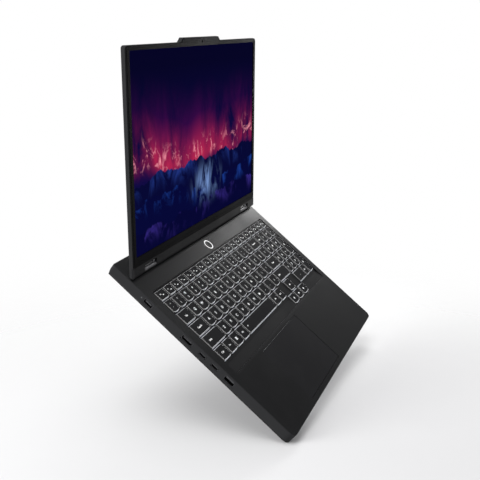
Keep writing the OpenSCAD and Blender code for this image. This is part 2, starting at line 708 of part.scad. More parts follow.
// One blade: a thin arc swept back against the turning direction
module blade(turn) linear_extrude(blade_h) intersection() {
    translate([(hub_r + rotor_r) / 2, turn * blade_bow]) difference() {
        circle(blade_r);
        circle(blade_r - blade_t);
    }
    translate([0, turn > 0 ? -blade_r : 0]) square([rotor_r, blade_r]);
    difference() {
        circle(rotor_r - rim_w / 2, $fn = 96);
        circle(hub_r - 0.3);
    }
}
module rotor(turn) {
    difference() {
        cylinder(r = hub_r, h = hub_h);
        translate([0, 0, -1]) cylinder(r = spindle_r + spindle_gap, h = hub_h + 2);
    }
    for (k = [0 : blade_count - 1]) rotate(k * 360 / blade_count) blade(turn);
    // Rim that ties the blades' tips together
    translate([0, 0, blade_h - rim_h / 2]) difference() {
        cylinder(r = rotor_r, h = rim_h, $fn = 96);
        translate([0, 0, -1]) cylinder(r = rotor_r - rim_w, h = rim_h + 2, $fn = 96);
    }
}
module fan_rotor_left() color(key_colour) placed() translate([fan_x, fan_y, rotor_low]) rotor(1);
module fan_rotor_right() color(key_colour) placed() translate([base_w - fan_x, fan_y, rotor_low]) rotor(-1);

fin_back = base_d - 5.4;
fin_low = floor_z + 2;
fin_x = 20;
fin_w = 90;
fin_t = 0.4;
module fin_stacks() color(metal_colour) placed() both_sides() {
    block([fin_x, fin_front, fin_low], [fin_x + fin_w, fin_back, fin_low + 0.6]);
    block([fin_x, fin_front, fan_high - 0.5], [fin_x + fin_w, fin_back, fan_high]);
    for (k = [0 : fin_count - 1])
        translate([fin_x + k * (fin_w - fin_t) / (fin_count - 1), fin_front, fin_low])
            cube([fin_t, fin_back - fin_front, fan_high - fin_low]);
}
// Flattened heat pipe: in from the left fins, forward to the cold plates and out to the right fins
pipe_t = 1.6;
pipe_w = 7;
pipe_bend = 14;
pipe_in = 4;
// Each pipe's [y in the fins, y on the cold plates, x of its run between them]
pipe_runs = [[fin_front + 3.8, 176, mid_x - 51.5], [fin_front + 11.6, 187, mid_x - 42.5]];
module quarter_ring(r, w) intersection() {
    difference() {
        circle(r + w / 2);
        circle(r - w / 2);
    }
    square(2 * r);
}
module pipe(w, fins_y, plates_y, turn_x) translate([0, 0, fin_low - pipe_t]) linear_extrude(pipe_t) {
    for (side = [0, 1]) translate([side * base_w, 0]) mirror([side, 0]) {
        translate([fin_x + pipe_in, fins_y - w / 2]) square([turn_x - pipe_bend - fin_x - pipe_in, w]);
        translate([turn_x - pipe_bend, fins_y - pipe_bend]) quarter_ring(pipe_bend, w);
        translate([turn_x - w / 2, plates_y + pipe_bend]) square([w, fins_y - plates_y - 2 * pipe_bend]);
        translate([turn_x + pipe_bend, plates_y + pipe_bend]) rotate(180) quarter_ring(pipe_bend, w);
        translate([turn_x + pipe_bend, plates_y - w / 2]) square([mid_x - turn_x - pipe_bend + EPS, w]);
    }
}
module heat_pipes() color([0.75, 0.46, 0.3]) placed()
    for (run = pipe_runs) pipe(pipe_w, run[0], run[1], run[2]);

// ---- Hinges ----

hinge_x = (base_w - lid_w) / 2 + notch_in;
leaf_t = 1.4;
leaf_screw_r = 1.6;
knuckle_play = 0.5;
module hinge_brackets() color(metal_colour) placed() both_sides() difference() {
    union() {
        translate([hinge_x + knuckle_play, hinge_y, hinge_z]) rotate([0, 90, 0])
            cylinder(r = knuckle_r, h = notch_w - 2 * knuckle_play);
        block([hinge_x + knuckle_play, hinge_y - bracket_foot_y / 2, -deck_t - leaf_t],
            [hinge_x + notch_w - knuckle_play, hinge_y + bracket_foot_y / 2, hinge_z]);
        block([hinge_x - 3, well_back + 2.5, -deck_t - leaf_t],
            [hinge_x + notch_w + 14, hinge_y + bracket_foot_y / 2, -deck_t]);
    }
    translate([hinge_x - 1, hinge_y, hinge_z]) rotate([0, 90, 0])
        cylinder(r = pin_r + pin_gap, h = notch_w + 2);
    for (x = [hinge_x + 1, hinge_x + notch_w + 8])
        translate([x, hinge_y - 13, -deck_t - leaf_t - 1]) cylinder(r = leaf_screw_r, h = 4);
}
end_r = lid_t / 2;
barrel_r = end_r - 1.1;
barrel_w = 9;
leaf_low = lid_plate_t - end_r;
leaf_up = 40;
leaf_plate_t = 0.8;
strap_up = 10;
// Pin with a barrel on each side of the notch, straps from the barrels, and a plate in the lid
module hinge_leaves() color(metal_colour) on_lid() both_sides() {
    translate([hinge_x - barrel_w, 0, 0]) rotate([0, 90, 0]) cylinder(r = pin_r, h = notch_w + 2 * barrel_w);
    for (x = [hinge_x - barrel_w, hinge_x + notch_w + knuckle_play]) {
        translate([x, 0, 0]) rotate([0, 90, 0]) cylinder(r = barrel_r, h = barrel_w - knuckle_play);
        block([x, -leaf_plate_t, leaf_low], [x + barrel_w - knuckle_play, strap_up, 0]);
    }
    block([hinge_x - barrel_w, notch_up + 0.6, leaf_low],
        [hinge_x + notch_w + barrel_w, leaf_up, leaf_low + leaf_plate_t]);
}

// ---- Lid ----

lid_x = (base_w - lid_w) / 2;
bump_slope = 6;
bezel_w = end_r - bezel_t;
// Face outline of the lid with the camera bump, drawn in by a margin
module lid_plan(inset, low) {
    rounded_plan(lid_x + inset, base_w - lid_x - inset, low, lid_len - inset,
        min(1, lid_corner_r - inset), lid_corner_r - inset);
    half = bump_w / 2 - inset;
    translate([mid_x, 0]) polygon([[-half, lid_len - 10], [half, lid_len - 10], [half, lid_len - inset],
        [half - bump_slope, bump_top - inset], [bump_slope - half, bump_top - inset],
        [-half, lid_len - inset]]);
}
// Notches in the lid's foot that the fixed knuckles stand in
module hinge_notches() both_sides()
    block([hinge_x, -end_r - 1, -end_r - 1], [hinge_x + notch_w, notch_up, end_r + 1]);
// Side profile of the lid: round about the hinge axis at its foot
module lid_profile(inset) {
    circle(end_r - inset);
    translate([0, inset - end_r]) square([bump_top + 1, 2 * (end_r - inset)]);
}
lid_edge = 0.8;
module lid_cover() color(shell_colour) on_lid() difference() {
    intersection() {
        translate([0, 0, -end_r]) linear_extrude(lid_t - bezel_t) lid_plan(0, -end_r);
        along_x(lid_x - 1, base_w - lid_x + 1) lid_profile(0);
        along_y(-end_r - 1, bump_top + 1) polygon([[lid_x + lid_edge, -end_r],
            [base_w - lid_x - lid_edge, -end_r], [base_w - lid_x, lid_edge - end_r],
            [base_w - lid_x, end_r], [lid_x, end_r], [lid_x, lid_edge - end_r]]);
    }
    hinge_notches();
    // Room for the panel and the camera
    translate([0, 0, leaf_low]) linear_extrude(lid_t) lid_plan(1.2, strip_up - 3);
    // Room for the hinge barrels, and for the strip that covers the front half of the foot
    intersection() {
        along_x(lid_x + 1.2, base_w - lid_x - 1.2) lid_profile(1);
        block([0, -end_r - 1, -end_r], [base_w, strip_up, end_r]);
    }
    block([0, -end_r - 1, 0], [base_w, strip_up + 0.05, end_r + 1]);
}
module hinge_strip() color([0.25, 0.25, 0.26]) on_lid() difference() {
    along_x(lid_x, base_w - lid_x) intersection() {
        lid_profile(0);
        translate([-end_r, 0.05]) square([end_r + strip_up, end_r]);
    }
    along_x(lid_x + 1.2, base_w - lid_x - 1.2) intersection() {
        lid_profile(1);
        translate([-end_r, -1]) square([end_r + strip_up - 1, end_r * 2]);
    }
    hinge_notches();
}
screen_top = lid_len - bezel_top;
screen_x = (base_w - screen_w) / 2;
lens_y = lid_len + 0.4;
gasket_h = 0.2;
gasket_in = 0.9;
gasket_w = 1.2;
// Pinholes beside the camera, from its middle
sensor_x = [-14, -8, 8];
module lip_plan(inset) rounded_plan(lid_x + inset, base_w - lid_x - inset, strip_up + 2 + inset,
    lid_len - inset, 3.5 - inset, lid_corner_r - inset);
module display_bezel() color(key_colour) on_lid() difference() {
    union() {
        translate([0, 0, bezel_w]) linear_extrude(bezel_t - 0.1) lid_plan(0.25, strip_up + 0.1);
        // Rubber lip round the bezel
        translate([0, 0, end_r - 0.15]) linear_extrude(gasket_h + 0.15) difference() {
            lip_plan(gasket_in);
            lip_plan(gasket_in + gasket_w);
        }
    }
    block([screen_x, screen_top - screen_h, 0], [screen_x + screen_w, screen_top, end_r + 1]);
    translate([mid_x, lens_y, 0]) cylinder(r = lens_r + 0.3, h = 10);
    for (x = sensor_x) translate([mid_x + x, lens_y, 0]) cylinder(r = 0.5, h = 10);
}
panel_margin = 1.6;
panel_t = 2.6;
panel_foot = 5;
driver_half = 120;
driver_d = 1.6;
module display_panel() color([0.05, 0.06, 0.12]) on_lid() {
    block([screen_x - panel_margin, screen_top - screen_h - panel_foot, bezel_w - panel_t],
        [screen_x + screen_w + panel_margin, screen_top + panel_margin, bezel_w]);
    // Driver board along the panel's foot
    block([mid_x - driver_half, screen_top - screen_h - panel_foot + 0.1 - driver_d, bezel_w - panel_t],
        [mid_x + driver_half, screen_top - screen_h - panel_foot + 0.1, bezel_w - 0.8]);
}
camera_board = [60, 4.4, 0.8];
camera_low = leaf_low + 0.3;
camera_top = camera_low + camera_board[2];
lens_r = 1.4;
// Camera board, the lens in its barrel, and a light and a sensor beside it
module webcam() color([0.06, 0.06, 0.07]) on_lid() {
    block([mid_x - camera_board[0] / 2, lens_y - camera_board[1] / 2, camera_low],
        [mid_x + camera_board[0] / 2, lens_y + camera_board[1] / 2, camera_top]);
    translate([mid_x, lens_y, camera_top - EPS]) cylinder(r = lens_r + 0.5, h = bezel_w - camera_top);
    translate([mid_x, lens_y, bezel_w - 0.5]) cylinder(r = lens_r, h = bezel_t - 0.2);
    for (x = [sensor_x[0], sensor_x[2]])
        translate([mid_x + x, lens_y, camera_top - EPS]) cylinder(r = 1, h = bezel_w - camera_top - 0.1);
}

// ---- Ports ----

// Each port is [y of its middle, width of its mouth, height of its mouth, depth behind the side]
jack_port = [202.3, 11, 4.6, 11];
hdmi_size = [146.5, 13.6, 4.6, 11.5];
usb_c_size = [[124.6, 8.6, 2.8, 8], [107.4, 8.6, 2.8, 8]];
usb_a_left = [86.8, 12.2, 5.2, 12.4];
usb_a_right = [[88, 12.2, 5.2, 12.4], [112, 12.2, 5.2, 12.4]];
lan_port = [140, 12, 5.4, 12.6];
audio_y = 72;
audio_r = 1.8;
port_shell = 0.4;
port_fit = 0.15;
port_in = 0.35;
port_back = 0.2;
// Room round an audio plug's collar where it passes the side wall
audio_room = 1.3;
// Box about a port's mouth, grown by a margin
module mouth(p, x0, x1, grow) block([x0, p[0] - p[1] / 2 - grow, port_z - p[2] / 2 - grow],
    [x1, p[0] + p[1] / 2 + grow, port_z + p[2] / 2 + grow]);
module port_hole(p) mouth(p, -1, wall + 2, port_shell + port_fit);
module on_right() translate([base_w, 0, 0]) mirror([1, 0, 0]) children();
module port_holes() {
    for (p = concat([jack_port, hdmi_size, usb_a_left], usb_c_size)) port_hole(p);
    on_right() for (p = concat(usb_a_right, [lan_port])) port_hole(p);
    on_right() translate([-1, audio_y, port_z]) rotate([0, 90, 0])
        cylinder(r = audio_r + audio_room, h = wall + 2);
    on_right() block([-1, switch_y - shutter_travel - 0.4, port_z - 1.3],
        [wall + 1, switch_y + switch_len + 0.4, port_z + 1.3]);
}
// Square-cornered socket shell with a closed back
module socket(p) difference() {
    mouth(p, port_in, p[3] + port_shell, port_shell);
    mouth(p, -1, p[3], 0);
}
// Solder feet that stand the socket on the board
module port_feet(p) for (side = [-1, 1]) translate([5, p[0] + side * p[1] / 2 - 0.5, board_low + board_t])
    cube([3, 1, port_z - board_low - board_t]);
module tongue(p, w, t, lift)
    block([1.6, p[0] - w / 2, port_z + lift - t / 2], [p[3] + EPS, p[0] + w / 2, port_z + lift + t / 2]);
// Socket with bevelled lower corners
module bevelled_plan(p, grow, cut) {
    half = p[1] / 2 + grow;
    low = port_z - p[2] / 2 - grow;
    high = port_z + p[2] / 2 + grow;
    polygon([[p[0] - half, high], [p[0] + half, high], [p[0] + half, low + cut], [p[0] + half - cut, low],
        [p[0] + cut - half, low], [p[0] - half, low + cut]]);
}
module bevelled_socket(p, cut) difference() {
    along_x(port_in, p[3] + port_shell) bevelled_plan(p, port_shell, cut);
    along_x(-1, p[3]) bevelled_plan(p, 0, cut);
}
module power_jack() color(metal_colour) placed() {
    socket(jack_port);
    port_feet(jack_port);
    tongue(jack_port, 8, 1.4, 0);
}
module hdmi_port() color(metal_colour) placed() {
    bevelled_socket(hdmi_size, 1.4);
    port_feet(hdmi_size);
    tongue(hdmi_size, 11, 1, 0.3);
}
module usb_c_ports() color(metal_colour) placed() for (p = usb_c_size) {
    difference() {
        translate([port_in, p[0], port_z]) rotate([90, 0, 90]) translate([-p[1] / 2 - port_shell, 0, 0])
            slot(p[1] + 2 * port_shell, p[2] + 2 * port_shell, p[3]);
        translate([-1, p[0], port_z]) rotate([90, 0, 90]) translate([-p[1] / 2, 0, 0]) slot(p[1], p[2], p[3]);
    }
    block([2, p[0] - 3.3, port_z - 0.35], [p[3], p[0] + 3.3, port_z + 0.35]);
    port_feet(p);
}
module usb_a_ports() color(metal_colour) placed() {
    socket(usb_a_left);
    port_feet(usb_a_left);
    tongue(usb_a_left, 10.6, 1.8, 1);
    on_right() for (p = usb_a_right) {
        socket(p);
        port_feet(p);
        tongue(p, 10.6, 1.8, 1);
    }
}
module ethernet_port() color([0.12, 0.12, 0.13]) placed() on_right() {
    socket(lan_port);
    port_feet(lan_port);
    // Eight contacts along the socket's roof
    for (k = [0 : 7]) translate([6, lan_port[0] + (k - 3.5) * 1.02 - 0.2, port_z + lan_port[2] / 2 - 0.8])
        cube([lan_port[3] - 6 + EPS, 0.4, 0.8 + EPS]);
}
// The audio jack's nose stands just behind the side wall, and its bore ends this far from the wall's outside
audio_len = 14;
audio_shell_r = audio_r + 1.1;
audio_back = 0.9;
audio_half = 3.4;
module audio_jack() color([0.1, 0.1, 0.11]) placed() on_right() difference() {
    union() {
        translate([wall + port_back, audio_y, port_z]) rotate([0, 90, 0]) cylinder(r = audio_shell_r, h = 4);
        block([wall + port_back + 1, audio_y - audio_half, board_low + board_t],
            [audio_len + audio_back, audio_y + audio_half, port_z + audio_shell_r]);
    }
    translate([-1, audio_y, port_z]) rotate([0, 90, 0]) cylinder(r = audio_r, h = audio_len + 1);
}

top_cover();
bottom_cover();
rear_grilles();
rubber_feet();
cover_screws();
key_frame();
keyboard_plate();
light_sheet();
key_supports();
power_ring();
touchpad_bracket();
motherboard();
processor_chips();
memory_modules();
solid_state_drive();
wireless_card();
cold_plates();
heat_pipes();
fin_stacks();
fan_housings();
battery();
speakers();
hinge_brackets();
power_jack();
hdmi_port();
usb_c_ports();
usb_a_ports();
ethernet_port();
audio_jack();
fan_rotor_left();
fan_rotor_right();
touchpad();
power_button();
camera_switch();
lid_cover();
display_bezel();
display_panel();
webcam();
hinge_strip();
hinge_leaves();
escape_key();
function_keys();
digit_keys();
backspace_key();
tab_key();
upper_letter_keys();
caps_lock_key();
home_letter_keys();
enter_key();
left_shift_key();
lower_letter_keys();
right_shift_key();
left_control_key();
modifier_keys();
space_key();
up_arrow_key();
left_arrow_key();
down_arrow_key();
right_arrow_key();
number_pad_keys();
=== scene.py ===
"""Laptop computer, lid open: finishes, key legends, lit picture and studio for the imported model."""
import json
from math import cos, radians, sin, sqrt

import bpy
from mathutils import Matrix, Vector

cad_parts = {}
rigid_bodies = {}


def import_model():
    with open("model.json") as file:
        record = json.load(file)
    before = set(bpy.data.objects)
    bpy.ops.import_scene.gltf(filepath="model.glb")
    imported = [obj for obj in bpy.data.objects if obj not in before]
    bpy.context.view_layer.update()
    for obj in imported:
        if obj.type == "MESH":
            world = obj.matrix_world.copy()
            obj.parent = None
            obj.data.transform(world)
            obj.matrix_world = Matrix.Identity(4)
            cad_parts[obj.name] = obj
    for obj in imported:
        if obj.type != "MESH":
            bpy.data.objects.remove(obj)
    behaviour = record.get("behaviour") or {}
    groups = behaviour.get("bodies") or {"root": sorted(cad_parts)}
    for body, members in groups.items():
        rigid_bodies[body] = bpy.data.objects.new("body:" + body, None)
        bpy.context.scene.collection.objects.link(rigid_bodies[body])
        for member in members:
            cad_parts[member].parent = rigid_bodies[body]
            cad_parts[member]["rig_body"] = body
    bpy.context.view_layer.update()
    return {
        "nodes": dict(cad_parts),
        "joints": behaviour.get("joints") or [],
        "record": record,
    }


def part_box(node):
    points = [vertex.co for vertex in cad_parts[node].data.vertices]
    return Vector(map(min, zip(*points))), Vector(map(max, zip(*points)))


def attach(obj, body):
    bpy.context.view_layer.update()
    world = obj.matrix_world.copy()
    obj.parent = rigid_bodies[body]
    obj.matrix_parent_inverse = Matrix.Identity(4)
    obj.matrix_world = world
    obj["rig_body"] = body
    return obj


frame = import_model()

MM = 0.001
nodes = frame["nodes"]
lid_joint = next(j for j in frame["joints"] if j["name"] == "lid_hinge")
hinge_point = Vector(lid_joint["pos_m"])
lid_tilt = radians(180 + lid_joint["range_deg"][0])
# Direction up along the open lid
lid_up = Vector((0, cos(lid_tilt), sin(lid_tilt)))
base_low, base_high = (Vector(c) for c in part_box("top_cover"))
deck_z = base_high.z
# A face whose normal's Z is below this counts as a wall, not as a flat top
FLATNESS = 0.93

# ---------------------------------------------------------------- shader helpers


def wire(tree, out_socket, in_socket):
    tree.links.new(out_socket, in_socket)


def add_node(tree, kind, **settings):
    """New node whose settings are its own attributes or the values of its inputs."""
    made = tree.nodes.new(kind)
    for key, value in settings.items():
        if hasattr(made, key):
            setattr(made, key, value)
        else:
            made.inputs[key.replace("_", " ")].default_value = value
    return made


def math_node(tree, operation, first, second=None, third=None):
    """Math on numbers or sockets."""
    made = tree.nodes.new("ShaderNodeMath")
    made.operation = operation
    for socket, value in zip(made.inputs, (first, second, third)):
        if isinstance(value, (int, float)):
            socket.default_value = value
        elif value is not None:
            wire(tree, value, socket)
    return made.outputs[0]


def mapped(tree, value, low, high, to_low=0.0, to_high=1.0, smooth=False):
    made = tree.nodes.new("ShaderNodeMapRange")
    made.interpolation_type = "SMOOTHSTEP" if smooth else "LINEAR"
    wire(tree, value, made.inputs["Value"])
    for name, number in zip(("From Min", "From Max", "To Min", "To Max"), (low, high, to_low, to_high)):
        made.inputs[name].default_value = number
    return made.outputs["Result"]


def mixed(tree, mask, first, second):
    """First colour where the mask is 0, second where it is 1."""
    made = tree.nodes.new("ShaderNodeMix")
    made.data_type = "RGBA"
    wire(tree, mask, made.inputs["Factor"])
    for name, value in (("A", first), ("B", second)):
        socket = next(s for s in made.inputs if s.name == name and s.type == "RGBA")
        if isinstance(value, (tuple, list)):
            socket.default_value = (*value[:3], 1.0)
        else:
            wire(tree, value, socket)
    return next(s for s in made.outputs if s.type == "RGBA")


def surface_point(tree):
    return add_node(tree, "ShaderNodeTexCoord").outputs["Object"]


def distance_from(tree, place, point):
    away = add_node(tree, "ShaderNodeVectorMath", operation="DISTANCE")
    wire(tree, place, away.inputs[0])
    away.inputs[1].default_value = point
    return away.outputs["Value"]


def along(tree, direction, start=(0, 0, 0)):
    """Distance of the surface point from start, along a direction, in metres."""
    shift = add_node(tree, "ShaderNodeVectorMath", operation="SUBTRACT")
    wire(tree, surface_point(tree), shift.inputs[0])
    shift.inputs[1].default_value = start
    dot = add_node(tree, "ShaderNodeVectorMath", operation="DOT_PRODUCT")
    wire(tree, shift.outputs[0], dot.inputs[0])
    dot.inputs[1].default_value = direction
    return dot.outputs["Value"]


def new_group(name, inputs, outputs):
    group = bpy.data.node_groups.new(name, "ShaderNodeTree")
    for label, kind, value in inputs:
        socket = group.interface.new_socket(name=label, in_out="INPUT", socket_type=kind)
        if value is not None:
            socket.default_value = value
    for label, kind in outputs:
        group.interface.new_socket(name=label, in_out="OUTPUT", socket_type=kind)
    return group, group.nodes.new("NodeGroupInput"), group.nodes.new("NodeGroupOutput")


def build_grain_group():
    """Fine paint or moulding grain: a height for bump, and a slow uneven mask for colour and roughness."""
    group, taken, given = new_group(
        "surface_grain",
        [("Grain per metre", "NodeSocketFloat", 3000.0), ("Patches per metre", "NodeSocketFloat", 14.0)],
        [("Height", "NodeSocketFloat"), ("Patches", "NodeSocketFloat")],
    )
    place = surface_point(group)
    fine = add_node(group, "ShaderNodeTexNoise", Detail=2.0, Roughness=0.6)
    wire(group, place, fine.inputs["Vector"])
    wire(group, taken.outputs["Grain per metre"], fine.inputs["Scale"])
    slow = add_node(group, "ShaderNodeTexNoise", Detail=4.0, Roughness=0.55)
    wire(group, place, slow.inputs["Vector"])
    wire(group, taken.outputs["Patches per metre"], slow.inputs["Scale"])
    wire(group, fine.outputs["Fac"], given.inputs["Height"])
    wire(group, mapped(group, slow.outputs["Fac"], 0.35, 0.68, smooth=True), given.inputs["Patches"])
    return group


def build_brushed_group():
    """Fine lines drawn along X: a height for bump and a streak mask for roughness."""
    group, taken, given = new_group(
        "drawn_lines",
        [("Lines per metre", "NodeSocketFloat", 5000.0)],
        [("Height", "NodeSocketFloat"), ("Streaks", "NodeSocketFloat")],
    )
    place = surface_point(group)
    stretch = add_node(group, "ShaderNodeVectorMath", operation="MULTIPLY")
    wire(group, place, stretch.inputs[0])
    stretch.inputs[1].default_value = (0.02, 1.0, 1.0)
    lines = add_node(group, "ShaderNodeTexNoise", Detail=3.0, Roughness=0.7)
    wire(group, stretch.outputs[0], lines.inputs["Vector"])
    wire(group, taken.outputs["Lines per metre"], lines.inputs["Scale"])
    wire(group, lines.outputs["Fac"], given.inputs["Height"])
    wire(group, mapped(group, lines.outputs["Fac"], 0.3, 0.7), given.inputs["Streaks"])
    return group


def build_side_mask_group():
    """1 on faces that turn away from straight up, 0 on flat tops and undersides."""
    group, taken, given = new_group(
        "side_faces", [("Flatness", "NodeSocketFloat", 0.9)], [("Mask", "NodeSocketFloat")]
    )
    facing = add_node(group, "ShaderNodeTexCoord").outputs["Normal"]
    split = add_node(group, "ShaderNodeSeparateXYZ")
    wire(group, facing, split.inputs[0])
    steep = math_node(group, "ABSOLUTE", split.outputs["Z"])
    wire(group, math_node(group, "LESS_THAN", steep, taken.outputs["Flatness"]), given.inputs["Mask"])
    return group


grain_group = build_grain_group()
brushed_group = build_brushed_group()
side_group = build_side_mask_group()


def use_group(tree, group, **values):
    made = tree.nodes.new("ShaderNodeGroup")
    made.node_tree = group
    for key, value in values.items():
        made.inputs[key.replace("_", " ")].default_value = value
    return made


def start_material(name, roughness, metallic, specular):
    made = bpy.data.materials.new(name)
    made.use_nodes = True
    tree = made.node_tree
    shader = tree.nodes["Principled BSDF"]
    shader.inputs["Roughness"].default_value = roughness
    shader.inputs["Metallic"].default_value = metallic
    shader.inputs["Specular IOR Level"].default_value = specular
    return made, tree, shader


BUMP_STRENGTH = 0.6


def bump(tree, shader, height, depth):
    """Fine relief, a few hundredths of a millimetre deep."""
    made = add_node(tree, "ShaderNodeBump")
    made.inputs["Distance"].default_value = depth
    made.inputs["Strength"].default_value = BUMP_STRENGTH
    wire(tree, height, made.inputs["Height"])
    wire(tree, made.outputs["Normal"], shader.inputs["Normal"])


def grained(name, light, dark, roughness, specular=0.3, grain=3000.0, depth=0.00002, spread=0.07):
    """Paint, plastic or rubber: two close tones in slow patches, with a fine grain."""
    made, tree, shader = start_material(name, roughness, 0.0, specular)
    skin = use_group(tree, grain_group, Grain_per_metre=grain)
    wire(tree, mixed(tree, skin.outputs["Patches"], dark, light), shader.inputs["Base Color"])
    wire(tree, mapped(tree, skin.outputs["Patches"], 0, 1, roughness - spread, roughness + spread),
         shader.inputs["Roughness"])
    bump(tree, shader, skin.outputs["Height"], depth)
    return made


def drawn_metal(name, light, dark, roughness, lines=5000.0, depth=0.00001):
    """Drawn or rolled metal with fine streaks."""
    made, tree, shader = start_material(name, roughness, 1.0, 0.5)
    skin = use_group(tree, brushed_group, Lines_per_metre=lines)
    spread = 0.08
    wire(tree, mixed(tree, skin.outputs["Streaks"], dark, light), shader.inputs["Base Color"])
    wire(tree, mapped(tree, skin.outputs["Streaks"], 0, 1, roughness - spread, roughness + spread),
         shader.inputs["Roughness"])
    bump(tree, shader, skin.outputs["Height"], depth)
    return made


# ---------------------------------------------------------------- finishes

# Two tones of the satin paint on flats, and a lighter tone that is painted light on the walls and behind the
# hinge
PAINT_LIGHT = (0.0125, 0.0127, 0.0136)
PAINT_DARK = (0.0095, 0.0097, 0.0105)
WALL_PAINTED_LIGHT = (0.027, 0.0273, 0.0285)
# How far in from a side of the base a wall still counts as an outer one
OUTER_BAND = 3 * MM


def satin_paint_and_painted_light(name, outer_walls_only=False):
    """Dark satin paint on the flats, and painted light: a lighter tone on the walls and behind the hinge."""
    made = grained(name, PAINT_LIGHT, PAINT_DARK, 0.36, 0.025)
    tree = made.node_tree
    shader = tree.nodes["Principled BSDF"]
    walls = use_group(tree, side_group, Flatness=FLATNESS).outputs["Mask"]
    if outer_walls_only:
        sideways = math_node(tree, "ABSOLUTE", along(tree, (1, 0, 0)))
        at_side = math_node(tree, "GREATER_THAN", sideways, -base_low.x - OUTER_BAND)
        at_front = math_node(tree, "LESS_THAN", along(tree, (0, 1, 0)), base_low.y + OUTER_BAND)
        walls = math_node(tree, "MULTIPLY", walls, math_node(tree, "MAXIMUM", at_side, at_front))
    fade = 2 * MM
    tail = mapped(tree, along(tree, (0, 1, 0)), hinge_point.y - fade, hinge_point.y + fade)
    # Painted light: the walls and everything behind the hinge get a lighter colour, as if lit more strongly
    painted_light_mask = math_node(tree, "MAXIMUM", walls, tail)
    dark = shader.inputs["Base Color"].links[0].from_socket
    wire(tree, mixed(tree, painted_light_mask, dark, WALL_PAINTED_LIGHT), shader.inputs["Base Color"])
    return made


def graphite_paint_with_charge_light():
    """The base's paint with its painted light on the outer walls, and the small charge light in the left side
    wall.
    """
    made = satin_paint_and_painted_light("graphite_base_paint", outer_walls_only=True)
    tree = made.node_tree
    shader = tree.nodes["Principled BSDF"]
    charge_light = Vector((base_low.x, base_low.y + 211.6 * MM, deck_z - 5.5 * MM))
    charge_light_r = 0.7 * MM
    lit = math_node(tree, "LESS_THAN", distance_from(tree, surface_point(tree), charge_light), charge_light_r)
    wire(tree, mixed(tree, lit, (0, 0, 0), (0.9, 0.95, 1.0)), shader.inputs["Emission Color"])
    shader.inputs["Emission Strength"].default_value = 0.15
    return made


def keycap_plastic():
    """Dark grey caps whose bevelled edge lets a little light through."""
    made = grained("keycap_plastic", (0.02, 0.0202, 0.0215), (0.014, 0.0142, 0.0155), 0.5, 0.01, 5000.0)
    tree = made.node_tree
    shader = tree.nodes["Principled BSDF"]
    sides = use_group(tree, side_group, Flatness=FLATNESS)
    height = along(tree, (0, 0, 1), (0, 0, deck_z))
    # Full on the bevel, which starts half a millimetre below the deck, and faint on the walls under it
    bevel = mapped(tree, height, -0.6 * MM, -0.45 * MM, 0.06, 1.0)
    glow = math_node(tree, "MULTIPLY", sides.outputs["Mask"], bevel)
    wire(tree, mixed(tree, glow, (0, 0, 0), (1.0, 1.0, 1.0)), shader.inputs["Emission Color"])
    shader.inputs["Emission Strength"].default_value = 0.2
    return made


def glowing(name, dim, bright, strength, roughness, grain, patches):
    """Lit plastic or print whose tone shifts slowly between two close colours."""
    made, tree, shader = start_material(name, roughness, 0.0, 0.2)
    skin = use_group(tree, grain_group, Grain_per_metre=grain, Patches_per_metre=patches)
    tone = mixed(tree, skin.outputs["Patches"], dim, bright)
    wire(tree, tone, shader.inputs["Base Color"])
    wire(tree, tone, shader.inputs["Emission Color"])
    shader.inputs["Emission Strength"].default_value = strength
    return made


def lit_film(name, colour, strength):
    """Evenly lit film, a tenth darker in patches."""
    return glowing(name, tuple(0.9 * c for c in colour), colour, strength, 0.6, 900.0, 30.0)


def power_ring_diffuser():
    """Milky ring with a dark painted rim on its outside, so that only a narrow line shines."""
    made = lit_film("lit_ring", (1.0, 1.0, 1.0), 0.8)
    tree = made.node_tree
    shader = tree.nodes["Principled BSDF"]
    low, high = (Vector(c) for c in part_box("power_button"))
    middle = (low + high) / 2
    button_r = (high.x - low.x) / 2
    flat = add_node(tree, "ShaderNodeVectorMath", operation="MULTIPLY")
    wire(tree, surface_point(tree), flat.inputs[0])
    flat.inputs[1].default_value = (1.0, 1.0, 0.0)
    away = distance_from(tree, flat.outputs[0], (middle.x, middle.y, 0.0))
    rim_from, rim_full = button_r + 1.15 * MM, button_r + 1.35 * MM
    rim = mapped(tree, away, rim_from, rim_full)
    for socket in (shader.inputs["Base Color"], shader.inputs["Emission Color"]):
        lit = socket.links[0].from_socket
        dark = PAINT_DARK if socket.name == "Base Color" else (0, 0, 0)
        wire(tree, mixed(tree, rim, lit, dark), socket)
    return made


# Width of the screen over its height
SCREEN_SHAPE = 1.58


